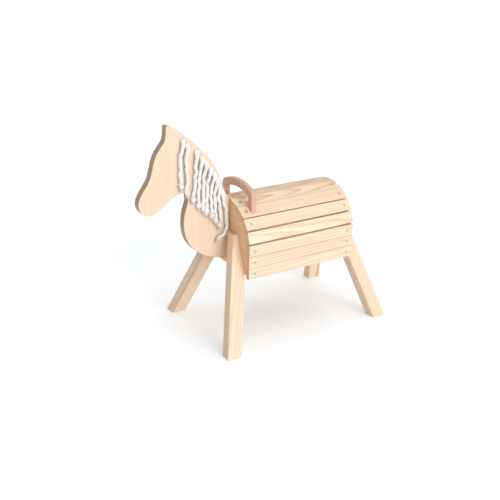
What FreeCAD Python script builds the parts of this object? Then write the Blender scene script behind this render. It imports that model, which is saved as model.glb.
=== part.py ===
import FreeCAD, Part
import math
import os
import Sketcher
from FreeCAD import Placement, Rotation, Vector

# A wooden ride-on horse for the garden, in millimetres.
# The horse faces -Y, its left side is +X and +Z is up. The origin is on the floor,
# in the middle of the box round the whole horse.

SIZES = {
    # barrel: two end panels with slats screwed round them
    "body_front": -99.1,
    "body_length": 380,
    "arc_height": 295.5,
    "slat_seat_radius": 115,
    "slat_thickness": 15,
    "slat_width": 35,
    "slat_round": 1.5,
    "ridge_slat_inside": 35.4,
    "ridge_slat_outside": 40,
    "ridge_slat_round": 1,
    "side_pitch": 35.5,
    "arc_step": 18,
    "panel_thickness": 35,
    "panel_bottom": 217,
    # legs: square-edged posts, leaning outwards and along the body
    "post_across": 35,
    "post_along": 45,
    "post_round": 3,
    "post_length": 460,
    "lean_out": 22.3,
    "lean_along": 15.9,
    "foot_centre_out": 176,
    "foot_reach": 82.6,
    "leg_top": 328,
    "leg_room_width": 600,
    "leg_room_depth": 300,
    # head and neck, one flat board
    "board_thickness": 24,
    "board_round": 1.2,
    "cord_hole": 12,
    "cord_thickness": 10,
    # bow-shaped grip: a low arch over two upright legs
    "grip_half_width": 85,
    "grip_top": 475.5,
    "grip_arch_radius": 188,
    "grip_corner": 22,
    "grip_opening_half_width": 61.5,
    "grip_opening_top": 452.5,
    "grip_opening_arch_radius": 140,
    "grip_opening_corner": 6,
    "grip_depth": 16,
    "grip_from_front": 41,
    "grip_round": 3,
    # screws: head across, head depth, shank across, length
    "slat_screw_head": 9.4,
    "slat_screw_shank": 4.5,
    "slat_screw_length": 40,
    "slat_screw_inset": 20,
    "leg_screw_head": 11.5,
    "leg_screw_shank": 6,
    "leg_screw_length": 56,
    "neck_screw_head": 9.6,
    "neck_screw_shank": 5,
    "neck_screw_length": 62,
    "grip_screw_head": 8.6,
    "grip_screw_shank": 4.5,
    "grip_screw_length": 34,
    "screw_recess": 0.55,
}

# Outline of the head and neck, as distances behind the front of the barrel and heights.
CREST = [
    (-196, 664), (-182, 658), (-163.5, 645.5), (-126.5, 616), (-89, 580), (-53, 538), (-30, 490),
    (-12, 446), (0, 424),
]
FRONT = [
    (0, 238), (-34, 244), (-87, 263.5), (-120.5, 289.5), (-144.5, 329), (-150.5, 370), (-146, 407),
    (-137, 440), (-140, 459), (-150, 468), (-162, 465), (-176, 460), (-198, 446.5), (-230, 424), (-251, 415),
    (-277, 422), (-291, 447), (-279, 483), (-256, 518), (-246, 550), (-235, 583), (-219, 607),
    (-208.5, 621), (-204, 638), (-203, 657),
]
EAR_TIP = (-201, 663)

# Both feet of the grip lie on the slats below this height.
FEET_BELOW = 412

# Screws through the front panel into the edge of the neck board, and through a panel into a leg.
NECK_SCREW_HEIGHTS = (262, 308, 354, 398)
LEG_SCREW_HEIGHTS = (238, 276)

# Routes of the mane's cords on the left side, one for each hole: out of the middle of the board,
# over the hole's rim and down the face. Each point is a distance to the left of the board's
# middle, a distance behind the front of the barrel and a height.
MANE = [
    [(0, -152.5, 621.5), (15, -152.5, 622), (22, -153.5, 608.7), (19.2, -157.3, 597), (17.5, -162, 577),
     (17.8, -164.7, 551), (17.5, -163.5, 522), (17.8, -161.5, 496)],
    [(0, -139, 607), (15, -139, 607.5), (22, -140, 594.2), (19.2, -143.3, 582), (17.5, -146.5, 562),
     (17.8, -144.2, 541), (17.5, -140.8, 517), (17.8, -142.5, 492), (17.6, -143.5, 475)],
    [(0, -110, 583.5), (15, -110, 584), (22, -110.8, 570.7), (19.2, -113.2, 559), (17.5, -115.3, 540),
     (17.8, -114.5, 514), (17.5, -117, 488), (17.8, -120.2, 468), (17.6, -122, 451)],
    [(0, -93.5, 564.5), (15, -93.5, 565), (22, -94.8, 551.7), (19.2, -98.3, 540), (17.5, -102.3, 520),
     (17.8, -103, 492), (17.5, -105.7, 466), (17.8, -107.3, 446), (17.6, -105.5, 430)],
    [(0, -79.5, 549), (15, -79.5, 549.5), (22, -80.8, 536.2), (19.2, -84.8, 524.5), (17.5, -89.3, 506),
     (17.8, -90.1, 483), (17.5, -90.3, 460), (17.8, -91.3, 437), (17.6, -89.9, 418)],
    [(0, -65.5, 530.5), (15, -65.5, 531), (22, -66.8, 517.7), (19.2, -71, 506), (17.5, -76.2, 488),
     (17.8, -78.2, 463), (17.5, -78.8, 434), (17.8, -79, 407)],
    [(0, -53, 513), (15, -53, 513.5), (22, -54.3, 500.2), (19.2, -58.5, 488.5), (17.5, -63.8, 471),
     (17.8, -65.6, 451), (17.5, -64.7, 430), (17.8, -63, 410), (17.6, -62.3, 392)],
    [(0, -44, 495), (15, -44, 495.5), (22, -45, 482.2), (19.2, -48.5, 470.5), (17.5, -52.3, 454),
     (17.8, -52.3, 436), (17.5, -51.3, 415), (17.8, -50.2, 393), (17.6, -49.1, 374)],
    [(0, -36, 476), (15, -36, 476.5), (22, -36.6, 463.2), (19.2, -38.6, 451.5), (17.5, -40, 436),
     (17.8, -38, 418), (17.5, -33.9, 398), (17.8, -31.5, 377), (17.6, -34.3, 359)],
    [(0, -27.5, 456), (15, -27.5, 456.5), (22, -27.3, 443.2), (19.2, -25, 431.5), (17.5, -20.3, 414),
     (17.8, -15.8, 396), (17.5, -12.3, 374), (17.8, -11.3, 350), (17.6, -13.5, 329), (17.8, -22, 314),
     (17.6, -35.5, 310.5)],
]


def fill_sheet(doc):
    sheet = doc.addObject("Spreadsheet::Sheet", "Sizes")
    for row, (alias, value) in enumerate(SIZES.items(), start=1):
        sheet.set(f"A{row}", alias)
        sheet.set(f"B{row}", str(value))
        sheet.setAlias(f"B{row}", alias)
    doc.recompute()
    return sheet


def plane_of(body, role):
    return next(feature for feature in body.Origin.OriginFeatures if feature.Role == role)


def new_sketch(body, name, role):
    sketch = body.newObject("Sketcher::SketchObject", name)
    sketch.AttachmentSupport = (plane_of(body, role), "")
    sketch.MapMode = "FlatFace"
    return sketch


def draw_lines(sketch, corners):
    """Draws a closed outline of straight lines whose ends are tied together."""
    count = len(corners)
    lines = []
    for here, there in zip(corners, corners[1:] + corners[:1]):
        lines.append(sketch.addGeometry(Part.LineSegment(Vector(*here, 0), Vector(*there, 0))))
    for index in range(count):
        joint = ("Coincident", lines[index], 2, lines[(index + 1) % count], 1)
        sketch.addConstraint(Sketcher.Constraint(*joint))
    return lines


def bind_distance(sketch, name, expression, *words):
    """Adds a named distance to a sketch and ties it to the sheet."""
    index = sketch.addConstraint(Sketcher.Constraint(*words))
    sketch.renameConstraint(index, name)
    sketch.setExpression(f"Constraints.{name}", expression)


def pad_both_ways(body, sketch, expression):
    pad = body.newObject("PartDesign::Pad", "Pad")
    pad.Profile = sketch
    pad.Midplane = True
    pad.setExpression("Length", expression)
    return pad


def round_edges(body, base, wanted, expression):
    """Rounds the edges of the feature for which wanted(edge) holds."""
    body.Document.recompute()
    names = [f"Edge{number}" for number, edge in enumerate(base.Shape.Edges, start=1) if wanted(edge)]
    fillet = body.newObject("PartDesign::Fillet", "Rounding")
    fillet.Base = (base, names)
    fillet.setExpression("Radius", expression)
    return fillet


def runs_along(axis):
    def wanted(edge):
        if edge.Curve.TypeId != "Part::GeomLine":
            return False
        return abs(abs(edge.tangentAt(edge.FirstParameter).dot(axis)) - 1) < 1e-6
    return wanted


def make_bar(doc, name, across, along, length, corner, role):
    """A bar of rectangular section, rounded along its four long edges.

    Its section is drawn in the role plane, from the origin outwards and centred the other way.
    """
    body = doc.addObject("PartDesign::Body", name)
    sketch = new_sketch(body, "Section", role)
    lines = draw_lines(sketch, [(0, -10), (10, -10), (10, 10), (0, 10)])
    for line, way in zip(lines, ("Horizontal", "Vertical", "Horizontal", "Vertical")):
        sketch.addConstraint(Sketcher.Constraint(way, line))
    sketch.addConstraint(Sketcher.Constraint("Symmetric", lines[3], 1, lines[3], 2, -1, 1))
    bind_distance(sketch, "Across", f"Sizes.{across}", "DistanceX", lines[0], 1, lines[0], 2, 10.0)
    bind_distance(sketch, "Along", f"Sizes.{along}", "DistanceY", lines[1], 1, lines[1], 2, 20.0)
    pad = pad_both_ways(body, sketch, f"Sizes.{length}")
    axis = Vector(0, 1, 0) if role == "XZ_Plane" else Vector(0, 0, 1)
    round_edges(body, pad, runs_along(axis), f"Sizes.{corner}")
    return body


def make_ridge_slat(doc, name):
    """A slat whose sides flare outwards, so that it closes up with its neighbours on the arch."""
    body = doc.addObject("PartDesign::Body", name)
    sketch = new_sketch(body, "Section", "XZ_Plane")
    lines = draw_lines(sketch, [(0, -17), (15, -20), (15, 20), (0, 17)])
    sketch.addConstraint(Sketcher.Constraint("Vertical", lines[3]))
    sketch.addConstraint(Sketcher.Constraint("Symmetric", lines[3], 1, lines[3], 2, -1, 1))
    sketch.addConstraint(Sketcher.Constraint("Symmetric", lines[1], 1, lines[1], 2, -1))
    bind_distance(sketch, "Thick", "Sizes.slat_thickness", "DistanceX", lines[0], 1, lines[0], 2, 15.0)
    bind_distance(sketch, "Inside", "Sizes.ridge_slat_inside", "DistanceY", lines[3], 2, lines[3], 1, 34.0)
    bind_distance(sketch, "Outside", "Sizes.ridge_slat_outside", "DistanceY", lines[1], 1, lines[1], 2, 40.0)
    pad = pad_both_ways(body, sketch, "Sizes.body_length")
    round_edges(body, pad, runs_along(Vector(0, 1, 0)), "Sizes.ridge_slat_round")
    return body


def make_screw(doc, name, kind):
    """A countersunk wood screw: its head is flush with the origin and its tip points down."""
    body = doc.addObject("PartDesign::Body", name)
    sketch = new_sketch(body, "Profile", "XZ_Plane")
    corners = [(0, 0), (4, 0), (2, -2), (2, -30), (0, -34)]
    lines = draw_lines(sketch, corners)
    sketch.addConstraint(Sketcher.Constraint("Coincident", lines[0], 1, -1, 1))
    sketch.addConstraint(Sketcher.Constraint("Horizontal", lines[0]))
    sketch.addConstraint(Sketcher.Constraint("Vertical", lines[2]))
    sketch.addConstraint(Sketcher.Constraint("Vertical", lines[4]))
    head = f"Sizes.{kind}_screw_head"
    shank = f"Sizes.{kind}_screw_shank"
    length = f"Sizes.{kind}_screw_length"
    bind_distance(sketch, "Head", f"{head} / 2", "DistanceX", lines[0], 1, lines[0], 2, 4.0)
    bind_distance(sketch, "Shank", f"{shank} / 2", "DistanceX", -1, 1, lines[2], 1, 2.0)
    bind_distance(sketch, "Cone", f"({head} - {shank}) / 2", "DistanceY", lines[2], 1, lines[0], 2, 2.0)
    bind_distance(sketch, "Tip", f"{shank}", "DistanceY", lines[3], 2, lines[3], 1, 4.0)
    bind_distance(sketch, "Length", f"{length}", "DistanceY", lines[3], 2, -1, 1, 34.0)
    turned = body.newObject("PartDesign::Revolution", "Turned")
    turned.Profile = sketch
    turned.ReferenceAxis = (sketch, ["V_Axis"])
    turned.Angle = 360
    return body


def add_recess(doc, body, kind):
    """Cuts the cross for the driver into the head."""
    head = f"Sizes.{kind}_screw_head"
    doc.recompute()
    for turn, (across, along) in enumerate(((0.30, 0.06), (0.06, 0.30))):
        slot = new_sketch(body, f"Recess{turn}", "XY_Plane")
        lines = draw_lines(slot, [(-across, -along), (across, -along), (across, along), (-across, along)])
        for line, way in zip(lines, ("Horizontal", "Vertical", "Horizontal", "Vertical")):
            slot.addConstraint(Sketcher.Constraint(way, line))
        slot.addConstraint(Sketcher.Constraint("Symmetric", lines[0], 1, lines[1], 2, -1, 1))
        bind_distance(slot, "Across", f"{head} * {2 * across}", "DistanceX", lines[0], 1, lines[0], 2, 1.0)
        bind_distance(slot, "Along", f"{head} * {2 * along}", "DistanceY", lines[1], 1, lines[1], 2, 1.0)
        pocket = body.newObject("PartDesign::Pocket", f"RecessCut{turn}")
        pocket.Profile = slot
        pocket.setExpression("Length", f"{head} * 0.25 * Sizes.screw_recess")
        doc.recompute()


def place_copies(doc, name, original, placements):
    """One node that holds several identical pieces, each a separate solid."""
    links = []
    for number, placement in enumerate(placements, start=1):
        link = doc.addObject("App::Link", f"{name}_{number}")
        link.LinkedObject = original
        link.Placement = placement
        links.append(link)
    group = doc.addObject("Part::Compound", name)
    group.Links = links
    return group


def cut(doc, name, base, tool):
    result = doc.addObject("Part::Cut", name)
    result.Base = base
    result.Tool = tool
    return result


def slat_seats(size):
    """Name, direction in degrees, and middle of the inner face of every slat."""
    radius = size("slat_seat_radius")
    height = size("arc_height")
    seats = []
    for low in (1, 2):
        drop = (3 - low) * size("side_pitch")
        seats.append((f"slat_left_{low}", 0, Vector(radius, 0, height - drop)))
        seats.append((f"slat_right_{low}", 180, Vector(-radius, 0, height - drop)))
    for step in range(11):
        angle = step * size("arc_step")
        name = f"slat_left_{step + 3}" if step < 5 else f"slat_right_{13 - step}"
        if step == 5:
            name = "slat_top"
        turn = math.radians(angle)
        seats.append((name, angle, Vector(radius * math.cos(turn), 0, height + radius * math.sin(turn))))
    return seats


def make_slats(doc, size):
    middle = Vector(0, size("body_front") + size("body_length") / 2, 0)
    slats = {}
    for name, angle, seat in slat_seats(size):
        if 45 < angle < 135:
            body = make_ridge_slat(doc, f"{name}_blank")
        else:
            body = make_bar(
                doc, f"{name}_blank", "slat_thickness", "slat_width", "body_length", "slat_round", "XZ_Plane"
            )
        body.Placement = Placement(seat + middle, Rotation(Vector(0, 1, 0), -angle))
        slats[name] = body
    return slats


def slat_screw_placements(size, y):
    """Screws through the slats along one end panel, square to each slat."""
    placements = []
    for _, angle, seat in slat_seats(size):
        turn = math.radians(angle)
        outwards = Vector(math.cos(turn), 0, math.sin(turn))
        head = seat + outwards * size("slat_thickness") + Vector(0, y, 0)
        placements.append(Placement(head, Rotation(Vector(0, 0, 1), outwards)))
    return placements


def make_panel(doc, name, y_expression):
    """An end panel: straight sides under a round top."""
    body = doc.addObject("PartDesign::Body", f"{name}_blank")
    sketch = new_sketch(body, "Outline", "XZ_Plane")
    foot = sketch.addGeometry(Part.LineSegment(Vector(-115, 217, 0), Vector(115, 217, 0)))
    right = sketch.addGeometry(Part.LineSegment(Vector(115, 217, 0), Vector(115, 295, 0)))
    circle = Part.Circle(Vector(0, 295, 0), Vector(0, 0, 1), 115)
    arch = sketch.addGeometry(Part.ArcOfCircle(circle, 0, math.pi))
    left = sketch.addGeometry(Part.LineSegment(Vector(-115, 295, 0), Vector(-115, 217, 0)))
    ties = [
        ("Coincident", foot, 2, right, 1), ("Coincident", right, 2, arch, 1),
        ("Coincident", arch, 2, left, 1), ("Coincident", left, 2, foot, 1),
        ("Horizontal", foot), ("Vertical", right), ("Vertical", left),
        ("PointOnObject", arch, 3, -2), ("Horizontal", right, 2, left, 1),
    ]
    for tie in ties:
        sketch.addConstraint(Sketcher.Constraint(*tie))
    bind_distance(sketch, "Seat", "Sizes.slat_seat_radius", "Radius", arch, 115.0)
    bind_distance(sketch, "Height", "Sizes.arc_height", "DistanceY", -1, 1, arch, 3, 295.0)
    bind_distance(sketch, "Bottom", "Sizes.panel_bottom", "DistanceY", -1, 1, foot, 1, 217.0)
    sketch.addConstraint(Sketcher.Constraint("PointOnObject", arch, 1, sketch_level(sketch, arch)))
    pad_both_ways(body, sketch, "Sizes.panel_thickness")
    body.setExpression(".Placement.Base.y", y_expression)
    return body


def sketch_level(sketch, arch):
    """A construction line level with the middle of the arch."""
    level = sketch.addGeometry(Part.LineSegment(Vector(0, 295, 0), Vector(200, 295, 0)), True)
    sketch.addConstraint(Sketcher.Constraint("Coincident", level, 1, arch, 3))
    sketch.addConstraint(Sketcher.Constraint("Horizontal", level))
    return level


def leg_placement(size, side, end):
    """Where a leg's post stands: side is 1 for left, end is -1 for front and 1 for rear."""
    out = math.tan(math.radians(size("lean_out")))
    along = math.tan(math.radians(size("lean_along")))
    upwards = Vector(-side * out, -end * along, 1).normalize()
    across = Vector(1, 0, side * out).normalize()
    face = size("body_front") if end < 0 else size("body_front") + size("body_length")
    foot = Vector(side * size("foot_centre_out"), face + end * size("foot_reach"), 0)
    rotation = Rotation(across, upwards.cross(across), upwards, "ZXY")
    middle = foot + upwards * (size("post_length") / 2 - 60) - across * (size("post_across") / 2)
    return Placement(middle, rotation)


def make_leg(doc, name, placement, end):
    """A post cut level at the floor and at the top, and flat where it lies on the panel."""
    post = make_bar(
        doc, f"{name}_post", "post_across", "post_along", "post_length", "post_round", "XY_Plane"
    )
    post.Placement = placement
    room = doc.addObject("Part::Box", f"{name}_room")
    room.setExpression("Length", "Sizes.leg_room_width")
    room.setExpression("Width", "Sizes.leg_room_depth")
    room.setExpression("Height", "Sizes.leg_top")
    room.setExpression(".Placement.Base.x", "-0.5 * Sizes.leg_room_width")
    face = "Sizes.body_front + Sizes.body_length"
    if end < 0:
        face = "Sizes.body_front - Sizes.leg_room_depth"
    room.setExpression(".Placement.Base.y", face)
    leg = doc.addObject("Part::Common", f"{name}_blank")
    leg.Base = post
    leg.Tool = room
    return leg


def leg_screw_placements(size, end):
    """Screws from inside the barrel, through an end panel and into both legs on it."""
    inside = size("body_front") + size("panel_thickness")
    if end > 0:
        inside = size("body_front") + size("body_length") - size("panel_thickness")
    slope = math.tan(math.radians(size("lean_out")))
    placements = []
    for side in (1, -1):
        for height in LEG_SCREW_HEIGHTS:
            head = Vector(side * (size("foot_centre_out") - slope * height), inside, height)
            placements.append(Placement(head, Rotation(Vector(0, 0, 1), Vector(0, -end, 0))))
    return placements


def neck_screw_placements(size):
    inside = size("body_front") + size("panel_thickness")
    turn = Rotation(Vector(0, 0, 1), Vector(0, 1, 0))
    return [Placement(Vector(0, inside, height), turn) for height in NECK_SCREW_HEIGHTS]


def make_board(doc):
    """The flat head and neck board, with the mane's holes along its crest."""
    body = doc.addObject("PartDesign::Body", "head_neck_board_blank")
    sketch = new_sketch(body, "Outline", "YZ_Plane")
    for points in (CREST, FRONT):
        curve = Part.BSplineCurve()
        curve.interpolate([Vector(y, z, 0) for y, z in points])
        sketch.addGeometry(curve)
    sketch.addGeometry(Part.LineSegment(Vector(*CREST[-1], 0), Vector(*FRONT[0], 0)))
    tip = [Vector(*point, 0) for point in (FRONT[-1], EAR_TIP, CREST[0])]
    sketch.addGeometry(Part.Arc(*tip))
    pad = pad_both_ways(body, sketch, "Sizes.board_thickness")
    rim = round_edges(body, pad, is_rim, "Sizes.board_round")
    holes = new_sketch(body, "Holes", "YZ_Plane")
    for number, route in enumerate(MANE):
        _, y, z = route[0]
        hole = holes.addGeometry(Part.Circle(Vector(y, z, 0), Vector(0, 0, 1), 5))
        bind_distance(holes, f"Across{number}", "Sizes.cord_hole", "Diameter", hole, 10.0)
    drilled = body.newObject("PartDesign::Pocket", "Drilled")
    drilled.Profile = holes
    drilled.Midplane = True
    drilled.setExpression("Length", "Sizes.board_thickness * 2")
    body.setExpression(".Placement.Base.y", "Sizes.body_front")
    doc.recompute()
    print("board volumes", round(rim.Shape.Volume), "before and", round(body.Shape.Volume), "after drilling")
    return body


def is_rim(edge):
    """Edges round the board's two faces, but not those where it meets the barrel."""
    middle = edge.valueAt((edge.FirstParameter + edge.LastParameter) / 2)
    return abs(middle.x) > 1 and middle.y < -1


def bow_corner(half, top, radius, corner):
    """Middle of the arc that joins a low arch to its upright side, and where the two arcs meet."""
    rise = math.sqrt((radius - corner) ** 2 - (half - corner) ** 2)
    middle = Vector(half - corner, top - radius + rise, 0)
    meeting = Vector(0, top - radius, 0) + Vector(half - corner, rise, 0) * (radius / (radius - corner))
    return middle, meeting


def draw_bow(sketch, size, kind, foot):
    """One outline of the grip, from foot to foot: upright, corner, low arch, corner and upright."""
    half = size(f"{kind}_half_width")
    top = size(f"{kind}_top")
    corner = size(f"{kind}_corner")
    middle, meeting = bow_corner(half, top, size(f"{kind}_arch_radius"), corner)
    bend = middle + (meeting - middle + Vector(corner, 0, 0)).normalize() * corner
    side = [Vector(half, foot, 0), Vector(half, middle.y, 0), bend, meeting]
    for way in (1, -1):
        ends = [Vector(way * point.x, point.y, 0) for point in side]
        sketch.addGeometry(Part.LineSegment(ends[0], ends[1]))
        sketch.addGeometry(Part.Arc(*ends[1:]))
    sketch.addGeometry(Part.Arc(meeting, Vector(0, top, 0), Vector(-meeting.x, meeting.y, 0)))


def make_grip(doc, size):
    """The bow-shaped grip, whose feet are cut to lie on the slats."""
    body = doc.addObject("PartDesign::Body", "grip_blank")
    sketch = new_sketch(body, "Outline", "XZ_Plane")
    outside = size("grip_half_width")
    inside = size("grip_opening_half_width")
    outer_foot = slat_level(size, outside)
    inner_foot = slat_level(size, inside)
    draw_bow(sketch, size, "grip", outer_foot)
    draw_bow(sketch, size, "grip_opening", inner_foot)
    for side in (1, -1):
        foot = (Vector(side * outside, outer_foot, 0), Vector(side * inside, inner_foot, 0))
        sketch.addGeometry(Part.LineSegment(*foot))
    pad = pad_both_ways(body, sketch, "Sizes.grip_depth")
    round_edges(body, pad, is_grip_edge, "Sizes.grip_round")
    body.setExpression(".Placement.Base.y", "Sizes.body_front + Sizes.grip_from_front")
    return body


def grip_slat(size):
    """Direction of the slat that the grip stands on, and how far its face is from the arc's middle."""
    return math.radians(3 * size("arc_step")), size("slat_seat_radius") + size("slat_thickness")


def slat_level(size, x):
    """Height of the outer face of the grip's slat at a distance x from the middle."""
    turn, radius = grip_slat(size)
    return size("arc_height") + (radius - x * math.cos(turn)) / math.sin(turn)


def is_grip_edge(edge):
    """Edges along the bow, but not those round its feet."""
    start = edge.valueAt(edge.FirstParameter)
    end = edge.valueAt(edge.LastParameter)
    return abs(start.y - end.y) < 1e-6 and abs(start.y) > 1 and not is_foot_edge(start, end)


def is_foot_edge(start, end):
    """Edges where a foot lies on its slat: sloping, and lower than the bow's own arcs."""
    slopes = abs(start.x - end.x) > 1 and abs(start.z - end.z) > 1
    return slopes and max(start.z, end.z) < FEET_BELOW


def grip_screw_placements(size):
    """One screw from inside the barrel, through the slat and up into each foot of the grip."""
    turn, _ = grip_slat(size)
    foot = size("grip_opening_half_width") + 5
    surface = Vector(foot, size("body_front") + size("grip_from_front"), slat_level(size, foot))
    outwards = Vector(math.cos(turn), 0, math.sin(turn))
    placements = []
    for side in (1, -1):
        head = surface - outwards * size("slat_thickness")
        head.x = side * head.x
        inwards = Vector(-side * outwards.x, 0, -outwards.z)
        placements.append(Placement(head, Rotation(Vector(0, 0, 1), inwards)))
    return placements


def bend_radius(before, corner, after):
    """Radius and tangent length of the arc that rounds one point of a cord's route."""
    incoming = corner - before
    outgoing = after - corner
    turn = incoming.getAngle(outgoing)
    setback = 0.45 * min(incoming.Length, outgoing.Length)
    return setback / math.tan(turn / 2), setback


def cord_path(points):
    """Straight runs joined by tangent arcs, and the smallest radius among them."""
    edges = []
    radii = []
    start = points[0]
    for before, corner, after in zip(points, points[1:], points[2:]):
        radius, setback = bend_radius(before, corner, after)
        incoming = (corner - before).normalize()
        outgoing = (after - corner).normalize()
        enter = corner - incoming * setback
        leave = corner + outgoing * setback
        inside = (outgoing - incoming).normalize()
        depth = math.sqrt(radius * radius + setback * setback) - radius
        edges.append(Part.LineSegment(start, enter).toShape())
        edges.append(Part.Arc(enter, corner + inside * depth, leave).toShape())
        radii.append(radius)
        start = leave
    edges.append(Part.LineSegment(start, points[-1]).toShape())
    return Part.Wire(edges), min(radii)


def make_cord(doc, size, name, route, side):
    front = size("body_front")
    points = [Vector(side * x, front + y, z) for x, y, z in route]
    path, tightest = cord_path(points)
    radius = size("cord_thickness") / 2
    ring = Part.Wire(Part.makeCircle(radius, points[0], points[1] - points[0]))
    tube = path.makePipeShell([ring], True, False)
    expected = math.pi * radius * radius * path.Length
    if abs(tube.Volume / expected - 1) > 0.01:
        raise ValueError(f"{name} has the wrong volume")
    print(f"{name}: length {path.Length:.1f}, tightest bend {tightest:.1f}")
    cord = doc.addObject("Part::Feature", name)
    cord.Shape = tube
    return cord


def build(doc):
    sheet = fill_sheet(doc)

    def size(alias):
        return sheet.get(alias)

    screws = {}
    seats = {}
    for kind in ("slat", "leg", "neck", "grip"):
        seats[kind] = make_screw(doc, f"Seat_{kind}", kind)
        screws[kind] = make_screw(doc, f"Screw_{kind}", kind)
        add_recess(doc, screws[kind], kind)
    front_inset = size("body_front") + size("slat_screw_inset")
    rear_inset = size("body_front") + size("body_length") - size("slat_screw_inset")
    groups = {
        "slat_screws_front": ("slat", slat_screw_placements(size, front_inset)),
        "slat_screws_rear": ("slat", slat_screw_placements(size, rear_inset)),
        "leg_screws_front": ("leg", leg_screw_placements(size, -1)),
        "leg_screws_rear": ("leg", leg_screw_placements(size, 1)),
        "neck_screws": ("neck", neck_screw_placements(size)),
        "grip_screws": ("grip", grip_screw_placements(size)),
    }
    nodes = {}
    holes = {}
    for name, (kind, placements) in groups.items():
        nodes[name] = place_copies(doc, name, screws[kind], placements)
        holes[name] = place_copies(doc, f"{name}_seats", seats[kind], placements)
    doc.recompute()

    def drilled(name, base, *fasteners):
        for number, fastener in enumerate(fasteners, start=1):
            last = number == len(fasteners)
            base = cut(doc, name if last else f"{name}_drilled_{number}", base, holes[fastener])
        nodes[name] = base

    front_panel = make_panel(doc, "front_panel", "Sizes.body_front + Sizes.panel_thickness / 2")
    drilled("front_panel", front_panel, "slat_screws_front", "leg_screws_front", "neck_screws")
    rear_y = "Sizes.body_front + Sizes.body_length - Sizes.panel_thickness / 2"
    drilled("rear_panel", make_panel(doc, "rear_panel", rear_y), "slat_screws_rear", "leg_screws_rear")
    for name, slat in make_slats(doc, size).items():
        fasteners = ["slat_screws_front", "slat_screws_rear"]
        if name in ("slat_left_6", "slat_right_6"):
            fasteners.append("grip_screws")
        drilled(name, slat, *fasteners)
    for end, place in ((-1, "front"), (1, "rear")):
        for side, hand in ((1, "left"), (-1, "right")):
            name = f"leg_{place}_{hand}"
            leg = make_leg(doc, name, leg_placement(size, side, end), end)
            drilled(name, leg, f"leg_screws_{place}")
    drilled("head_neck_board", make_board(doc), "neck_screws")
    drilled("grip", make_grip(doc, size), "grip_screws")
    for number, route in enumerate(MANE, start=1):
        for side, hand in ((1, "left"), (-1, "right")):
            name = f"mane_cord_{hand}_{number:02d}"
            nodes[name] = make_cord(doc, size, name, route, side)
    doc.recompute()
    return nodes


def check(doc, nodes):
    for item in doc.Objects:
        if "Invalid" in item.State or "Error" in item.State:
            raise ValueError(f"{item.Label} could not be worked out: {item.State}")
    for name, item in nodes.items():
        if item.Shape.isNull() or not item.Shape.isValid() or item.Shape.Volume <= 0:
            raise ValueError(f"{name} has no valid shape")
        if len(item.Shape.Solids) > 1 and "screws" not in name:
            raise ValueError(f"{name} is in {len(item.Shape.Solids)} pieces")


def write(nodes):
    os.makedirs("parts", exist_ok=True)
    for name, item in nodes.items():
        item.Label = name
        item.Shape.exportStep(f"parts/{name}.step")
    box = FreeCAD.BoundBox()
    for name, item in nodes.items():
        if not name.startswith("mane_cord"):
            box.add(item.Shape.BoundBox)
    print("pieces", len(nodes), "box", box)


document = FreeCAD.newDocument("RideOnHorse")
sub_parts = build(document)
check(document, sub_parts)
write(sub_parts)
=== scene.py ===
import math
import random

import bpy
import numpy as np
from mathutils import Matrix, Vector


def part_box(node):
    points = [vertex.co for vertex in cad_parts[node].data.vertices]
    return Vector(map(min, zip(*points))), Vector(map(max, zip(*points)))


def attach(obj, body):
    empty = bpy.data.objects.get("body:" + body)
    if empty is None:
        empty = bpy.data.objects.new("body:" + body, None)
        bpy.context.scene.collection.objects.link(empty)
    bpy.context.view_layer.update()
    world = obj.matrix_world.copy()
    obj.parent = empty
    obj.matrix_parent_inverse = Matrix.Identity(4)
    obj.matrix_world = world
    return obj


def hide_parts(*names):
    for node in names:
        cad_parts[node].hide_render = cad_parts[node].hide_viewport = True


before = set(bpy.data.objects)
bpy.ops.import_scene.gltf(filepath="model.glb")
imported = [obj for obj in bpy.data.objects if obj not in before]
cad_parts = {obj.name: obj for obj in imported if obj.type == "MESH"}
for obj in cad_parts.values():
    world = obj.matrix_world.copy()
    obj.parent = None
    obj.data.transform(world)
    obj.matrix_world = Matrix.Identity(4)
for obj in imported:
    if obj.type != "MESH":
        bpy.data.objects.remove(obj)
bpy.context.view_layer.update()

# Looks for a wooden ride-on horse. It faces -Y and its left side is +X. Everything is in metres.

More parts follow.
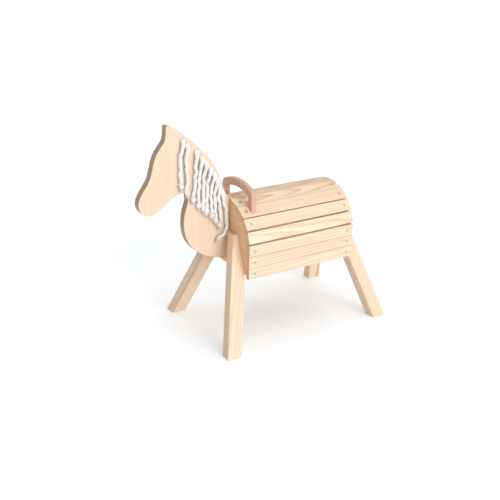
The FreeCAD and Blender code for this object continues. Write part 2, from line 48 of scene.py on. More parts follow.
# The mane's cords on the left side, one route each: distance to the left, distance behind the
# barrel's front, and height. They are the routes of the CAD tubes. The right side mirrors them.
MANE = [
    [(0, -0.1525, 0.6215), (0.015, -0.1525, 0.622), (0.022, -0.1535, 0.6087), (0.0192, -0.1573, 0.597),
     (0.0175, -0.162, 0.577), (0.0178, -0.1647, 0.551), (0.0175, -0.1635, 0.522), (0.0178, -0.1615, 0.496)],
    [(0, -0.139, 0.607), (0.015, -0.139, 0.6075), (0.022, -0.14, 0.5942), (0.0192, -0.1433, 0.582),
     (0.0175, -0.1465, 0.562), (0.0178, -0.1442, 0.541), (0.0175, -0.1408, 0.517), (0.0178, -0.1425, 0.492),
     (0.0176, -0.1435, 0.475)],
    [(0, -0.11, 0.5835), (0.015, -0.11, 0.584), (0.022, -0.1108, 0.5707), (0.0192, -0.1132, 0.559),
     (0.0175, -0.1153, 0.54), (0.0178, -0.1145, 0.514), (0.0175, -0.117, 0.488), (0.0178, -0.1202, 0.468),
     (0.0176, -0.122, 0.451)],
    [(0, -0.0935, 0.5645), (0.015, -0.0935, 0.565), (0.022, -0.0948, 0.5517), (0.0192, -0.0983, 0.54),
     (0.0175, -0.1023, 0.52), (0.0178, -0.103, 0.492), (0.0175, -0.1057, 0.466), (0.0178, -0.1073, 0.446),
     (0.0176, -0.1055, 0.43)],
    [(0, -0.0795, 0.549), (0.015, -0.0795, 0.5495), (0.022, -0.0808, 0.5362), (0.0192, -0.0848, 0.5245),
     (0.0175, -0.0893, 0.506), (0.0178, -0.0901, 0.483), (0.0175, -0.0903, 0.46), (0.0178, -0.0913, 0.437),
     (0.0176, -0.0899, 0.418)],
    [(0, -0.0655, 0.5305), (0.015, -0.0655, 0.531), (0.022, -0.0668, 0.5177), (0.0192, -0.071, 0.506),
     (0.0175, -0.0762, 0.488), (0.0178, -0.0782, 0.463), (0.0175, -0.0788, 0.434), (0.0178, -0.079, 0.407)],
    [(0, -0.053, 0.513), (0.015, -0.053, 0.5135), (0.022, -0.0543, 0.5002), (0.0192, -0.0585, 0.4885),
     (0.0175, -0.0638, 0.471), (0.0178, -0.0656, 0.451), (0.0175, -0.0647, 0.43), (0.0178, -0.063, 0.41),
     (0.0176, -0.0623, 0.392)],
    [(0, -0.044, 0.495), (0.015, -0.044, 0.4955), (0.022, -0.045, 0.4822), (0.0192, -0.0485, 0.4705),
     (0.0175, -0.0523, 0.454), (0.0178, -0.0523, 0.436), (0.0175, -0.0513, 0.415), (0.0178, -0.0502, 0.393),
     (0.0176, -0.0491, 0.374)],
    [(0, -0.036, 0.476), (0.015, -0.036, 0.4765), (0.022, -0.0366, 0.4632), (0.0192, -0.0386, 0.4515),
     (0.0175, -0.04, 0.436), (0.0178, -0.038, 0.418), (0.0175, -0.0339, 0.398), (0.0178, -0.0315, 0.377),
     (0.0176, -0.0343, 0.359)],
    [(0, -0.0275, 0.456), (0.015, -0.0275, 0.4565), (0.022, -0.0273, 0.4432), (0.0192, -0.025, 0.4315),
     (0.0175, -0.0203, 0.414), (0.0178, -0.0158, 0.396), (0.0175, -0.0123, 0.374), (0.0178, -0.0113, 0.35),
     (0.0176, -0.0135, 0.329), (0.0178, -0.022, 0.314), (0.0176, -0.0355, 0.3105)],
]
MANE_LENGTHS = [0.143, 0.149, 0.149, 0.151, 0.148, 0.141, 0.138, 0.138, 0.134, 0.175]
CORD = 0.010
BARREL_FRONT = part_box("front_panel")[0].y

# A rope's strands: how far out they lie and how thick they are, as shares of the rope's thickness.
STRAND_OUT, STRAND_RADIUS = 0.30, 0.28
STRANDS = 3

# One full turn of a strand, and the step between points, in a rope and in its thinner knot.
ROPE_LAY, ROPE_STEP = 0.024, 0.0014
KNOT_CORD, KNOT_LAY, KNOT_STEP = 0.0074, 0.018, 0.0009

# Where a rope is fullest, how long that stretch is, and how far the rope is still.
BULGE_AT, BULGE_LENGTH, STILL_LENGTH = 0.018, 0.011, 0.035

# A rope's tremble, as a share of its thickness, its slack in metres, and how long their waves are.
TREMBLE, TREMBLE_WAVES = 0.06, (0.0031, 0.0043)
SLACK, SLACK_WAVES = 0.0008, (0.0065, 0.0090)

# The waves that a strand gets thicker and thinner in.
LONG_SWELL, SHORT_SWELL = 0.0071, 0.0023

# An overhand knot: how far its curve runs, how large it is away from the board, across the cord and
# along it, and how far its middle lies below the cord's end and away from the board.
KNOT_RUN = 2.05
KNOT_OUT, KNOT_ACROSS, KNOT_DOWN = 0.0021, 0.0026, 0.0024
KNOT_BELOW, KNOT_PROUD = 0.0062, 0.0012

# Loose fibres on each rope, and loose yarns below each knot: how many, how long and how thick.
FIBRES, FIBRE_LENGTH, FIBRE_RADIUS = 60, 0.0020, 0.00007
YARNS, YARN_LENGTHS, YARN_RADIUS = 26, (0.005, 0.0105), 0.00075

# Wood colours, as pairs of early and late wood.
PINE = ((0.792, 0.624, 0.475), (0.610, 0.350, 0.170))
RED_PINE = ((0.770, 0.490, 0.280), (0.660, 0.365, 0.180))
BIRCH = ((0.745, 0.560, 0.420), (0.635, 0.420, 0.270))
DARK_BIRCH = ((0.640, 0.400, 0.270), (0.480, 0.280, 0.170))

# Plies on edge, as pairs of long grain and end grain, and the thickness of two plies.
BOARD_PLIES = ((0.480, 0.347, 0.252), (0.358, 0.258, 0.190))
GRIP_PLIES = ((0.660, 0.435, 0.315), (0.500, 0.320, 0.225))
PLY_PAIR = 0.0028

# The width of the end panels' staves and of the growth rings, how far off a piece's pith may lie,
# and the gloss of finished wood.
STAVE = 0.058
RING, LEG_RING, VENEER_RING = 0.0034, 0.0042, 0.0042
PITH_DISTANCE = (0.05, 0.11)
WOOD_GLOSS = 0.32

# How far the legs lean outwards and along the body, in degrees.
LEAN_OUT, LEAN_ALONG = 22.3, 15.9

# Knots in the wood: how far along the piece from its middle, and how big. NO_KNOT lies far away.
SLAT_KNOTS = {"slat_right_3": (-0.05, 0.0040), "slat_right_5": (0.09, 0.0032)}
LEG_KNOTS = {"leg_rear_right": (-0.06, 0.0035)}
NO_KNOT = {"Knot": (0, 0, 50), "Branch": (1, 0, 0), "Knot size": 0.004}

# The camera: where it stands, its lens, and its yaw from +X, downward pitch and roll in radians.
CAMERA_PLACE = (1.963, -1.280, 1.216)
CAMERA_LENS = 59.06
CAMERA_YAW, CAMERA_PITCH, CAMERA_ROLL = 2.5688, 0.3962, 0.0237

# Soft lights: direction from the horse, apparent size in degrees, and strength.
LIGHTS = {
    "side_light": ((1.0, 0.16, 0.22), 46, 2.1),
    "overhead_light": ((0.05, 0.05, 1.0), 80, 0.85),
}

# The light of the room itself: bright from behind the horse and dim from ahead of it.
BRIGHT_SIDE = (0.35, 0.85, 0.35)
DIM, BRIGHT = 0.30, 0.68
ROOM_COLOUR = (1.0, 0.995, 0.99, 1)

# The floor: a flat disc that lies a hair below the feet.
FLOOR_RADIUS, FLOOR_DROP, FLOOR_CORNERS = 30, 0.0004, 96
FLOOR_COLOUR = (0.895, 0.925, 0.950, 1)
FLOOR_GLOW = 0.17


# ---------------------------------------------------------------- camera, light and floor

def add_camera():
    """Looks at the horse from where the photograph was taken."""
    yaw, pitch, roll = CAMERA_YAW, CAMERA_PITCH, CAMERA_ROLL
    ahead = Vector((math.cos(pitch) * math.cos(yaw), math.cos(pitch) * math.sin(yaw), -math.sin(pitch)))
    level = ahead.cross(Vector((0, 0, 1))).normalized()
    upright = level.cross(ahead)
    right = level * math.cos(roll) + upright * math.sin(roll)
    up = upright * math.cos(roll) - level * math.sin(roll)
    data = bpy.data.cameras.new("camera")
    data.lens = CAMERA_LENS
    camera = bpy.data.objects.new("camera", data)
    axes = Matrix((right, up, -ahead)).transposed().to_4x4()
    camera.matrix_world = Matrix.Translation(CAMERA_PLACE) @ axes
    bpy.context.scene.collection.objects.link(camera)
    bpy.context.scene.camera = camera


def add_sun(name, towards, spread, strength):
    """A big soft light in one direction; towards points from the horse to the light."""
    data = bpy.data.lights.new(name, "SUN")
    data.angle = math.radians(spread)
    data.energy = strength
    light = bpy.data.objects.new(name, data)
    light.rotation_euler = Vector(towards).to_track_quat("Z", "Y").to_euler()
    bpy.context.scene.collection.objects.link(light)


def add_studio():
    """A pale room: light from all round, a soft light at the left side and one overhead."""
    scene = bpy.context.scene
    scene.view_settings.view_transform = "Standard"
    world = bpy.data.worlds.new("studio")
    world.use_nodes = True
    n = Nodes(world.node_tree)
    direction = n.add("ShaderNodeTexCoord").outputs["Generated"]
    light_side = n.step(n.vector("DOT_PRODUCT", direction, BRIGHT_SIDE), -0.8, 0.4, DIM, BRIGHT)
    background = world.node_tree.nodes["Background"]
    world.node_tree.links.new(light_side, background.inputs["Strength"])
    background.inputs["Color"].default_value = ROOM_COLOUR
    scene.world = world
    for name, (towards, spread, strength) in LIGHTS.items():
        add_sun(name, towards, spread, strength)
    add_floor()


def add_floor():
    """A plain pale floor, far wider than the view."""
    mesh = bpy.data.meshes.new("floor")
    angles = np.linspace(0, 2 * math.pi, FLOOR_CORNERS, endpoint=False)
    ring = [(FLOOR_RADIUS * math.cos(a), FLOOR_RADIUS * math.sin(a), -FLOOR_DROP) for a in angles]
    mesh.from_pydata(ring, [], [range(FLOOR_CORNERS)])
    floor = bpy.data.objects.new("floor", mesh)
    bpy.context.scene.collection.objects.link(floor)
    paint = Paint("floor_paint")
    paint.shader.inputs["Base Color"].default_value = FLOOR_COLOUR
    paint.shader.inputs["Emission Color"].default_value = (1, 1, 1, 1)
    paint.shader.inputs["Emission Strength"].default_value = FLOOR_GLOW
    paint.shader.inputs["Roughness"].default_value = 0.9
    paint.shader.inputs["Specular IOR Level"].default_value = 0.1
    mesh.materials.append(paint.material)


# ---------------------------------------------------------------- nodes

class Nodes:
    """Adds nodes to a tree. A value is a number, a tuple or the socket that it comes from."""

    def __init__(self, tree):
        self.tree = tree

    def add(self, kind, values=None, **settings):
        node = self.tree.nodes.new(kind)
        for name, value in settings.items():
            setattr(node, name, value)
        for name, value in (values or {}).items():
            if isinstance(value, bpy.types.NodeSocket):
                self.tree.links.new(value, node.inputs[name])
            else:
                node.inputs[name].default_value = value
        return node

    def math(self, operation, *values):
        return self.add("ShaderNodeMath", dict(enumerate(values)), operation=operation).outputs[0]

    def vector(self, operation, *values):
        node = self.add("ShaderNodeVectorMath", dict(enumerate(values)), operation=operation)
        return node.outputs["Value" if operation in ("LENGTH", "DOT_PRODUCT", "DISTANCE") else "Vector"]

    def split(self, vector):
        return self.add("ShaderNodeSeparateXYZ", {"Vector": vector}).outputs

    def join(self, x, y, z):
        return self.add("ShaderNodeCombineXYZ", {0: x, 1: y, 2: z}).outputs[0]

    def noise(self, vector, scale, detail=2.0, output="Fac"):
        values = {"Vector": vector, "Scale": scale, "Detail": detail}
        return self.add("ShaderNodeTexNoise", values).outputs[output]

    def number_noise(self, number):
        return self.add("ShaderNodeTexWhiteNoise", {"W": number}, noise_dimensions="1D")

    def step(self, value, low, high, bottom=0.0, top=1.0):
        """Goes smoothly from bottom at low to top at high."""
        values = {"Value": value, 1: low, 2: high, 3: bottom, 4: top}
        return self.add("ShaderNodeMapRange", values, interpolation_type="SMOOTHSTEP").outputs[0]

    def mix(self, share, a, b, blend="MIX"):
        node = self.add("ShaderNodeMix", {0: share, 6: a, 7: b}, data_type="RGBA", blend_type=blend)
        return node.outputs[2]


class Paint:
    """A material with its shader and a way to add nodes to it."""

    def __init__(self, name):
        self.material = bpy.data.materials.new(name)
        self.material.use_nodes = True
        self.nodes = Nodes(self.material.node_tree)
        self.shader = self.material.node_tree.nodes["Principled BSDF"]

    def feed(self, socket, source):
        self.material.node_tree.links.new(source, self.shader.inputs[socket])

    def bump(self, height, distance):
        values = {"Height": height, "Distance": distance}
        self.feed("Normal", self.nodes.add("ShaderNodeBump", values).outputs[0])

    def place(self):
        """Where each point of the surface is, in the horse's own frame."""
        return self.nodes.add("ShaderNodeTexCoord").outputs["Object"]


def colour(rgb, share=1.0):
    """A colour socket's value, darkened to a share of the colour."""
    return (rgb[0] * share, rgb[1] * share, rgb[2] * share, 1)


# ---------------------------------------------------------------- solid wood

def make_grain_group():
    """Solid wood as a log grows it: rings round a pith that lies along Z, with one knot."""
    tree = bpy.data.node_groups.new("grain", "ShaderNodeTree")
    sockets = {
        "Place": "Vector", "Axis": "Vector", "Early": "Color", "Late": "Color", "Ring": "Float",
        "Knot": "Vector", "Branch": "Vector", "Knot size": "Float",
    }
    for name, kind in sockets.items():
        tree.interface.new_socket(name, in_out="INPUT", socket_type=f"NodeSocket{kind}")
    for name, kind in (("Color", "Color"), ("Height", "Float"), ("Roughness", "Float")):
        tree.interface.new_socket(name, in_out="OUTPUT", socket_type=f"NodeSocket{kind}")
    n = Nodes(tree)
    given = tree.nodes.new("NodeGroupInput").outputs
    place = given["Place"]

    # the rings wander a little along the log, and bend round the knot
    slow = n.vector("MULTIPLY", place, (1, 1, 0.10))
    wander = n.vector("SUBTRACT", n.noise(slow, 22, 2, "Color"), (0.5, 0.5, 0.5))
    bent = n.vector("MULTIPLY_ADD", wander, (0.012, 0.012, 0), place)
    offset = n.vector("SUBTRACT", place, given["Knot"])
    stretched = n.vector("MULTIPLY", offset, (1, 1, 0.6))
    reach = n.vector("LENGTH", n.vector("CROSS_PRODUCT", stretched, given["Branch"]))
    outward = n.step(n.vector("DOT_PRODUCT", offset, given["Branch"]), 0, 0.01)
    away = n.math("DIVIDE", reach, given["Knot size"])
    swirl = n.math("MULTIPLY", outward, n.math("EXPONENT", n.math("MULTIPLY", away, -0.8)))
    radius = n.vector("LENGTH", n.vector("MULTIPLY", bent, (1, 1, 0)))
    uneven = n.noise(n.join(radius, 0.0, 0.0), 55, 2)
    count = n.math("ADD", n.math("DIVIDE", radius, given["Ring"]), n.math("MULTIPLY", uneven, 2.4))
    count = n.math("ADD", count, n.math("MULTIPLY", swirl, 2.2))
    within = n.math("FRACT", count)
    late = n.math("MULTIPLY", n.step(within, 0.28, 0.86), n.step(within, 0.90, 1.0, 1.0, 0.0))
    number = n.number_noise(n.math("FLOOR", count)).outputs[0]
    late = n.math("MULTIPLY", late, n.math("MULTIPLY_ADD", number, 0.65, 0.35))

    # fibres, short resin streaks and slow changes of tone along the plank
    fibre = n.noise(n.vector("MULTIPLY", place, (1, 1, 0.025)), 900, 3)
    streak = n.step(n.noise(n.vector("MULTIPLY", place, (1, 1, 0.012)), 420, 1), 0.60, 0.78)
    tone = n.noise(n.vector("MULTIPLY", place, (1, 1, 0.08)), 46, 2)
    shade = n.mix(n.math("MULTIPLY", late, 0.86), given["Early"], given["Late"])
    shade = n.mix(n.math("MULTIPLY", streak, 0.24), shade, given["Late"])
    lift = n.math("MULTIPLY_ADD", fibre, 0.16, 0.92)
    lift = n.math("MULTIPLY", lift, n.math("MULTIPLY_ADD", tone, 0.14, 0.93))
    # end grain drinks more finish, so it is darker
    normal = n.add("ShaderNodeNewGeometry").outputs["Normal"]
    ends = n.step(n.math("ABSOLUTE", n.vector("DOT_PRODUCT", normal, given["Axis"])), 0.75, 0.95)
    shade = n.mix(ends, shade, n.mix(1.0, shade, (0.88, 0.74, 0.62, 1), "MULTIPLY"))
    shade = n.mix(1.0, shade, n.join(lift, lift, lift), "MULTIPLY")

    # the knot: a dark rim round a brown heart with rings of its own
    inside = n.math("MULTIPLY", n.step(away, 1.15, 0.95), outward)
    band = n.math("MULTIPLY", n.step(away, 0.70, 0.98), n.step(away, 1.30, 1.02))
    rim = n.math("MULTIPLY", band, outward)
    heart_ring = n.math("SINE", n.math("MULTIPLY", away, 21))
    brown = n.math("MULTIPLY_ADD", heart_ring, 0.14, 0.46)
    heart = n.mix(brown, given["Late"], colour((0.33, 0.17, 0.085)))
    shade = n.mix(n.math("MULTIPLY", inside, 0.78), shade, heart)
    shade = n.mix(n.math("MULTIPLY", rim, 0.55), shade, colour((0.26, 0.13, 0.06)))

    height = n.math("MULTIPLY_ADD", late, 0.55, n.math("MULTIPLY", fibre, 0.45))
    rough = n.math("MULTIPLY_ADD", late, -0.10, n.math("MULTIPLY_ADD", fibre, 0.16, 0.50))
    n.add("NodeGroupOutput", {"Color": shade, "Height": height, "Roughness": rough})
    return tree


def frame_along(axis):
    """Rotation that turns Z onto an axis."""
    return Vector(axis).to_track_quat("Z", "Y")


def wood(name, seed, middle, axis, colours=PINE, ring=RING, knot=None, staves=None):
    """Solid wood for one piece: middle is a point on its grain line and axis the grain's direction."""
    chance = random.Random(seed)
    paint = Paint(name)
    n = paint.nodes
    slant = Vector([chance.uniform(-0.02, 0.02) for _ in range(3)])
    turn = frame_along(Vector(axis) + slant)
    round_log = chance.uniform(0, 2 * math.pi)
    away = chance.uniform(*PITH_DISTANCE)
    from_pith = Vector((away * math.cos(round_log), away * math.sin(round_log), chance.uniform(-2, 2)))
    pith_place = Vector(middle) + turn @ from_pith
    place = n.add(
        "ShaderNodeMapping",
        {"Vector": paint.place(), "Location": pith_place, "Rotation": turn.to_euler()},
        vector_type="TEXTURE",
    ).outputs[0]
    if staves:
        place = shift_by_stave(paint, place, *staves)
    knots = NO_KNOT
    if knot:
        along, size = knot
        on_face = turn.inverted() @ (Vector(middle) + Vector(axis) * along - pith_place)
        branch = Vector((on_face.x, on_face.y, 0)).normalized()
        knots = {"Knot": (0, 0, on_face.z), "Branch": branch, "Knot size": size}
    tint = chance.uniform(0.965, 1.03)
    warm = chance.uniform(-0.018, 0.018)
    early, late = [(c[0] * tint, c[1] * (tint - warm), c[2] * (tint - 2 * warm), 1) for c in colours]
    values = {
        "Place": place, "Axis": Vector(axis).normalized(), "Early": early, "Late": late,
        "Ring": ring * chance.uniform(0.85, 1.2), **knots,
    }
    grain = n.add("ShaderNodeGroup", values, node_tree=GRAIN)
    paint.feed("Base Color", grain.outputs["Color"])
    paint.feed("Roughness", grain.outputs["Roughness"])
    paint.shader.inputs["Specular IOR Level"].default_value = WOOD_GLOSS
    paint.bump(grain.outputs["Height"], 0.00018)
    return paint.material


def shift_by_stave(paint, place, axis_index, width):
    """Gives each stave of a glued panel wood of its own."""
    n = paint.nodes
    across = n.split(paint.place())[axis_index]
    number = n.math("FLOOR", n.math("DIVIDE", across, width))
    jump = n.number_noise(number).outputs["Color"]
    return n.vector("MULTIPLY_ADD", jump, (0.05, 0.05, 0.9), place)


# ---------------------------------------------------------------- plywood and steel

def ply(name, middle, thickness_axis, grain_axis, veneer, plies):
    """Birch plywood: calm rotary-cut faces, and thin plies round the rim. Axes are 0, 1 or 2."""
    paint = Paint(name)
    n = paint.nodes
    place = paint.place()
    across = [0.0, 0.0, 0.0]
    across[thickness_axis] = 1.0
    along = [0.02, 0.05, 0.02]
    along[grain_axis] = 1.0
    pith = Vector(middle) + Vector(across) * 0.20 + Vector((0, -0.02, 0))
    figure = n.add(
        "ShaderNodeMapping",
        {"Vector": place, "Location": pith, "Rotation": frame_along(along).to_euler()},
        vector_type="TEXTURE",
    ).outputs[0]
    values = {
        "Place": figure, "Axis": along, "Early": colour(veneer[0]), "Late": colour(veneer[1]),
        "Ring": VENEER_RING, **NO_KNOT,
    }
    grain = n.add("ShaderNodeGroup", values, node_tree=GRAIN)
    face = n.mix(0.60, grain.outputs["Color"], colour(veneer[0], 0.98))
    # the rim: plies 1.4 mm thick that lie lengthways and crossways in turn
    depth = n.vector("DOT_PRODUCT", n.vector("SUBTRACT", place, middle), across)
    wave = n.math("COSINE", n.math("MULTIPLY", depth, 2 * math.pi / PLY_PAIR))
    crossways = n.step(wave, -0.35, 0.35)
    thin = [0.22, 0.22, 0.22]
    thin[thickness_axis] = 1.0
    fuzz = n.noise(n.vector("MULTIPLY", place, thin), 1500, 2)
    edge = n.mix(crossways, colour(plies[0]), colour(plies[1]))
    dim = n.math("MULTIPLY_ADD", fuzz, 0.30, 0.85)
    edge = n.mix(1.0, edge, n.join(dim, dim, dim), "MULTIPLY")
    normal = n.add("ShaderNodeNewGeometry").outputs["Normal"]
    square = n.math("ABSOLUTE", n.vector("DOT_PRODUCT", normal, across))
    on_edge = n.step(square, 0.96, 0.82)
    paint.feed("Base Color", n.mix(on_edge, face, edge))
    sawn = n.math("MULTIPLY_ADD", crossways, -0.6, fuzz)
    height = n.math("MULTIPLY_ADD", on_edge, sawn, grain.outputs["Height"])
    paint.feed("Roughness", n.math("MULTIPLY_ADD", on_edge, 0.14, grain.outputs["Roughness"]))
    paint.shader.inputs["Specular IOR Level"].default_value = WOOD_GLOSS
    paint.bump(height, 0.00012)
    return paint.material


def steel():
    """Zinc-plated screws, dulled and a little scratched."""
    paint = Paint("zinc_plated_steel")
    n = paint.nodes
    place = paint.place()
    cloud = n.noise(place, 900, 3)
    scratch = n.noise(n.vector("MULTIPLY", place, (1, 0.15, 1)), 4200, 2)
    paint.feed("Base Color", n.mix(cloud, colour((0.46, 0.455, 0.42)), colour((0.62, 0.61, 0.56))))
    paint.feed("Roughness", n.math("MULTIPLY_ADD", cloud, 0.22, 0.36))
    paint.shader.inputs["Metallic"].default_value = 1.0
    paint.bump(n.math("ADD", cloud, scratch), 0.00006)
    return paint.material


# ---------------------------------------------------------------- cord

def cotton(name, twists):
    """Undyed cotton: each strand is spun from yarns that run round it the other way. Its colour also holds
    painted shade: blotches, the valleys between the yarns and the grooves between the strands.
    """
    paint = Paint(name)
    n = paint.nodes
    u, v, _ = n.split(n.add("ShaderNodeUVMap", uv_map="lay").outputs[0])
    depth = n.split(n.add("ShaderNodeUVMap", uv_map="depth").outputs[0])[0]
    winding = n.math("MULTIPLY_ADD", v, twists, n.math("MULTIPLY", u, -1.5))
    yarn = n.math("SINE", n.math("MULTIPLY", winding, 2 * math.pi))
    place = paint.place()
    fluff = n.noise(place, 2600, 3)
    # painted shade: random blotches and patches that darken the cream, standing in for the uneven shading
    # of the lay
    painted_blotch_shade = n.noise(place, 60, 2)
    painted_patch_shade = n.step(n.noise(place, 210, 2), 0.35, 0.65, 0.92, 1.0)
    shade = n.mix(painted_blotch_shade, colour((0.94, 0.922, 0.890)), colour((0.90, 0.872, 0.828)))
    shade = n.mix(1.0, shade, n.join(painted_patch_shade, painted_patch_shade, painted_patch_shade), "MULTIPLY")
    # painted shade in the valleys between the yarns, following the same winding as the yarn bump
    painted_yarn_shade = n.step(n.math("MULTIPLY_ADD", fluff, 0.5, yarn), -0.9, 0.2, 0.86, 1.0)
    shade = n.mix(1.0, shade, n.join(painted_yarn_shade, painted_yarn_shade, painted_yarn_shade), "MULTIPLY")
    # painted shade: dark brown-grey in the grooves between the strands, strongest deepest in the rope
    painted_groove_shade = n.step(depth, 0.55, 0.93, 0.90, 0.0)
    paint.feed("Base Color", n.mix(painted_groove_shade, shade, colour((0.56, 0.49, 0.41))))
    paint.feed("Roughness", n.math("MULTIPLY_ADD", fluff, 0.10, 0.86))
    paint.shader.inputs["Specular IOR Level"].default_value = 0.15
    paint.shader.inputs["Sheen Weight"].default_value = 0.35
    paint.shader.inputs["Sheen Roughness"].default_value = 0.5
    paint.bump(n.math("MULTIPLY_ADD", fluff, 0.9, yarn), 0.00028)
    return paint.material


def route_line(points):
    """The smooth line of a route: a NURBS spline with the route's points as its control points."""
    data = bpy.data.curves.new("route", "CURVE")
    data.dimensions = "3D"
    data.resolution_u = 12
    spline = data.splines.new("NURBS")
    spline.points.add(len(points) - 1)
    for point, place in zip(spline.points, points):
        point.co = (*place, 1)
    spline.order_u = 3
    spline.use_endpoint_u = True
    holder = bpy.data.objects.new("route", data)
    mesh = bpy.data.meshes.new_from_object(holder)
    line = np.array([vertex.co for vertex in mesh.vertices], float)
    bpy.data.meshes.remove(mesh)
    bpy.data.curves.remove(data)
    return line


def distances(line):
    return np.concatenate([[0], np.cumsum(np.linalg.norm(np.diff(line, axis=0), axis=1))])


def evenly(line, step):
    """The same line with points at even distances."""
    along = distances(line)
    at = np.linspace(0, along[-1], max(3, round(along[-1] / step) + 1))
    return np.stack([np.interp(at, along, line[:, axis]) for axis in range(3)], axis=1)


def frames(line):
    """At each point of a line, two directions square to it that turn as little as possible."""
    tangent = np.gradient(line, axis=0)
    tangent /= np.linalg.norm(tangent, axis=1)[:, None]
    start = np.cross(tangent[0], (0.3, 1.0, 0.2))
    across = [start / np.linalg.norm(start)]
    for direction in tangent[1:]:
        carried = across[-1] - direction * (across[-1] @ direction)
        across.append(carried / np.linalg.norm(carried))
    across = np.array(across)
    return across, np.cross(tangent, across)


class Tubes:
    """Collects round tubes and makes one mesh of them.

    The UVs hold the place along each tube, in cord thicknesses, the place round it, and how far
    out of the rope each point is.
    """

    def __init__(self):
        self.points = []
        self.faces = []
        self.uvs = []
        self.depths = []

    def add(self, line, radii, sides, core=None, reach=1.0):
        first = sum(len(part) for part in self.points)
        across, side = frames(line)
        angles = np.linspace(0, 2 * math.pi, sides, endpoint=False)
        circle = np.cos(angles)[None, :, None] * across[:, None]
        circle = circle + np.sin(angles)[None, :, None] * side[:, None]
        radii = np.broadcast_to(np.asarray(radii, float), (len(line),))
        points = line[:, None] + circle * radii[:, None, None]
        depth = np.ones(points.shape[:2])
        if core is not None:
            depth = np.linalg.norm(points - core[:, None], axis=2) / reach
        self.points.append(points.reshape(-1, 3))
        self.depths.append(depth.ravel())
        along = distances(line) / CORD
        for ring in range(len(line) - 1):
            for k in range(sides):
                after = (k + 1) % sides
                a, b = first + ring * sides, first + (ring + 1) * sides
                self.faces.append((a + k, a + after, b + after, b + k))
                low, high = k / sides, (k + 1) / sides
                here, there = along[ring], along[ring + 1]
                self.uvs += [(here, low), (here, high), (there, high), (there, low)]
        last = first + (len(line) - 1) * sides
        self.faces.append(tuple(first + k for k in reversed(range(sides))))
        self.faces.append(tuple(last + k for k in range(sides)))
        self.uvs += [(0.0, 0.0)] * sides
        self.uvs += [(along[-1], 0.0)] * sides

    def make(self, name, material):
        mesh = bpy.data.meshes.new(name)
        mesh.from_pydata(np.concatenate(self.points).tolist(), [], self.faces)
        mesh.uv_layers.new(name="lay").data.foreach_set("uv", np.array(self.uvs, np.float32).ravel())
        corners = np.zeros(len(mesh.loops), np.int32)
        mesh.loops.foreach_get("vertex_index", corners)
        depth = np.concatenate(self.depths)[corners]
        depth = np.stack([depth, np.zeros_like(depth)], axis=1)
        mesh.uv_layers.new(name="depth").data.foreach_set("uv", depth.astype(np.float32).ravel())
        mesh.polygons.foreach_set("use_smooth", [True] * len(mesh.polygons))
        mesh.materials.append(material)
        piece = bpy.data.objects.new(name, mesh)
        bpy.context.scene.collection.objects.link(piece)
        return piece


def lay_rope(tubes, line, thickness, lay, chance, sides=9, bulge=0.0, slack=0.0, still=-1.0):
    """Three uneven strands laid round a line.

    A bulge makes the rope thicker where it leaves its hole, and slack lets it wander as it hangs.
    Over its first stretch, as long as still, it doesn't wander.
    """
    across, side = frames(line)
    along = distances(line)
    start = chance.uniform(0, 2 * math.pi)
    full = 1 + bulge * np.exp(-((along - BULGE_AT) / BULGE_LENGTH) ** 2)
    first, second = TREMBLE_WAVES
    tremble = thickness * TREMBLE * np.stack([np.sin(along / first + start), np.sin(along / second)])
    tremble[1] += slack * np.sin(along / chance.uniform(*SLACK_WAVES) + 2 * start)
    tremble *= np.clip((along - still) / 0.02, 0, 1)
    sway = tremble[0][:, None] * across + tremble[1][:, None] * side
    reach = thickness * (STRAND_OUT + STRAND_RADIUS)
    for strand in range(STRANDS):
        turn = 2 * math.pi * (along / lay + strand / STRANDS) + start
        beat = chance.uniform(0, 2 * math.pi)
        uneven = 0.06 * np.sin(along / LONG_SWELL + beat) + 0.04 * np.sin(along / SHORT_SWELL + 2 * beat)
        swell = full * (1 + uneven)
        ring = np.cos(turn)[:, None] * across + np.sin(turn)[:, None] * side
        middle = line + sway + ring * (full * thickness * STRAND_OUT)[:, None]
        tubes.add(middle, thickness * STRAND_RADIUS * swell, sides, line, reach)


def add_fuzz(tubes, line, thickness, chance):
    """Fine loose fibres that stand off the rope."""
    across, side = frames(line)
    for _ in range(FIBRES):
        at = chance.randrange(8, len(line) - 2)
        heading = chance.uniform(0, 2 * math.pi)
        outwards = math.cos(heading) * across[at] + math.sin(heading) * side[at]
        drift = np.array([chance.uniform(-1, 1) for _ in range(3)]) * 0.0011
        t = np.linspace(0, 1, 4)[:, None]
        root = line[at] + outwards * thickness * 0.44
        tubes.add(root + outwards * t * FIBRE_LENGTH + drift * t * t, FIBRE_RADIUS, 3)


def knot_line(cord_line, side, chance):
    """A small overhand knot that goes on from the end of a cord the way the cord points."""
    way = cord_line[-1] - cord_line[-6]
    lean = math.atan2(way[1], -way[2])
    t = np.linspace(-KNOT_RUN, KNOT_RUN, 64)
    ends = np.clip((KNOT_RUN - np.abs(t)) / 0.45, 0, 1)
    ends = ends * ends * (3 - 2 * ends)
    turn = chance.uniform(-0.5, 0.5)
    out = KNOT_OUT * (t ** 3 - 3 * t) * ends
    along = KNOT_ACROSS * (t ** 4 - 4 * t ** 2 + 2) * ends
    down = KNOT_DOWN * (t ** 5 / 5 - 2 * t)
    across = along * math.cos(turn)
    height = along * math.sin(turn) - down - KNOT_BELOW * math.cos(lean)
    y = across * math.cos(lean) - height * math.sin(lean)
    z = across * math.sin(lean) + height * math.cos(lean)
    return cord_line[-1] + np.stack([(out + KNOT_PROUD) * side, y, z], axis=1)


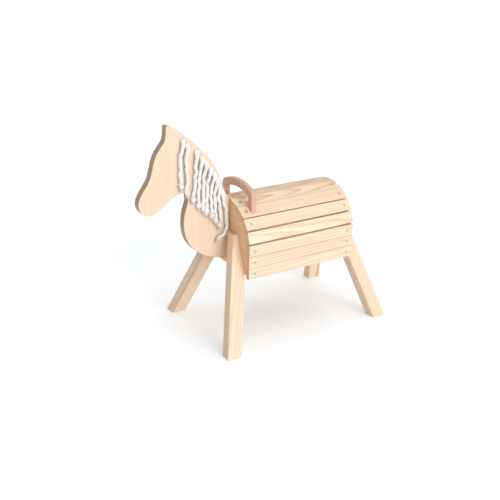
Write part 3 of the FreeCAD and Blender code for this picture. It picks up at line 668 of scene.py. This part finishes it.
def add_fray(tubes, end, side, chance):
    """The loose yarns below a knot."""
    for _ in range(YARNS):
        heading = chance.uniform(0, 2 * math.pi)
        lean = chance.uniform(0.1, 0.85)
        long = chance.uniform(*YARN_LENGTHS)
        t = np.linspace(0, 1, 6)[:, None]
        outwards = np.array([abs(math.cos(heading)) * side * 0.6, math.sin(heading), 0.0])
        root = np.array(end) + outwards * 0.0016
        curl = np.array([chance.uniform(-1, 1), chance.uniform(-1, 1), 0]) * 0.0007
        drop = t * np.array([0, 0, -long])
        line = root + drop + t ** 2 * outwards * lean * long + np.sin(t * 5) * curl
        tubes.add(line, YARN_RADIUS * (1 - 0.35 * t[:, 0]), 5)


def add_length(name, side, route, material, chance):
    """One hanging length of the mane, with its knot and its loose yarns."""
    points = [(side * x, BARREL_FRONT + y, z) for x, y, z in route]
    line = evenly(route_line(points), ROPE_STEP)
    rope = Tubes()
    bulge = chance.uniform(0.27, 0.35)
    lay_rope(rope, line, CORD, ROPE_LAY, chance, bulge=bulge, slack=SLACK, still=STILL_LENGTH)
    add_fuzz(rope, line, CORD, chance)
    cord = rope.make(f"mane_rope_{name}", material)
    tip = Tubes()
    knot = evenly(knot_line(line, side, chance), KNOT_STEP)
    lay_rope(tip, knot, KNOT_CORD, KNOT_LAY, chance, 7)
    add_fray(tip, knot[-1], side, chance)
    end = tip.make(f"mane_knot_{name}", material)
    for piece in (cord, end):
        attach(piece, "root")
    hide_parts(f"mane_cord_{name}")


def add_mane():
    """Ten cords, each with a length of its own down either side of the board."""
    material = cotton("laid_cotton", 4)
    for number, (route, length) in enumerate(zip(MANE, MANE_LENGTHS), start=1):
        for hand, side in (("left", 1), ("right", -1)):
            chance = random.Random(number * 10 + side)
            add_length(f"{hand}_{number:02d}", side, route, material, chance)


# ---------------------------------------------------------------- paint the CAD parts

def paint_node(node, material):
    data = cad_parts[node].data
    data.materials.clear()
    data.materials.append(material)


def centre(node):
    low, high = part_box(node)
    return (low + high) / 2


def paint_slats():
    slats = [f"slat_{hand}_{row}" for hand in ("left", "right") for row in range(1, 8)] + ["slat_top"]
    for seed, node in enumerate(slats, start=11):
        paint_node(node, wood(f"pine_{node}", seed, centre(node), (0, 1, 0), knot=SLAT_KNOTS.get(node)))


def paint_legs():
    out, along = math.tan(math.radians(LEAN_OUT)), math.tan(math.radians(LEAN_ALONG))
    for seed, (place, end) in enumerate((("front", -1), ("rear", 1)), start=41):
        for hand, side in (("left", 1), ("right", -1)):
            node = f"leg_{place}_{hand}"
            axis = Vector((-side * out, -end * along, 1)).normalized()
            knot = LEG_KNOTS.get(node)
            material = wood(f"pine_{node}", seed + 5 * side, centre(node), axis, ring=LEG_RING, knot=knot)
            paint_node(node, material)


def paint_boards():
    for seed, node in enumerate(("front_panel", "rear_panel"), start=61):
        material = wood(f"glued_pine_{node}", seed, centre(node), (1, 0, 0), RED_PINE, staves=(2, STAVE))
        paint_node(node, material)
    paint_node("head_neck_board", ply("board_plywood", centre("head_neck_board"), 0, 2, BIRCH, BOARD_PLIES))
    paint_node("grip", ply("grip_plywood", centre("grip"), 1, 0, DARK_BIRCH, GRIP_PLIES))


def paint_screws():
    metal = steel()
    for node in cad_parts:
        if "screws" in node:
            paint_node(node, metal)


add_camera()
GRAIN = make_grain_group()
add_mane()
paint_slats()
paint_legs()
paint_boards()
paint_screws()
add_studio()
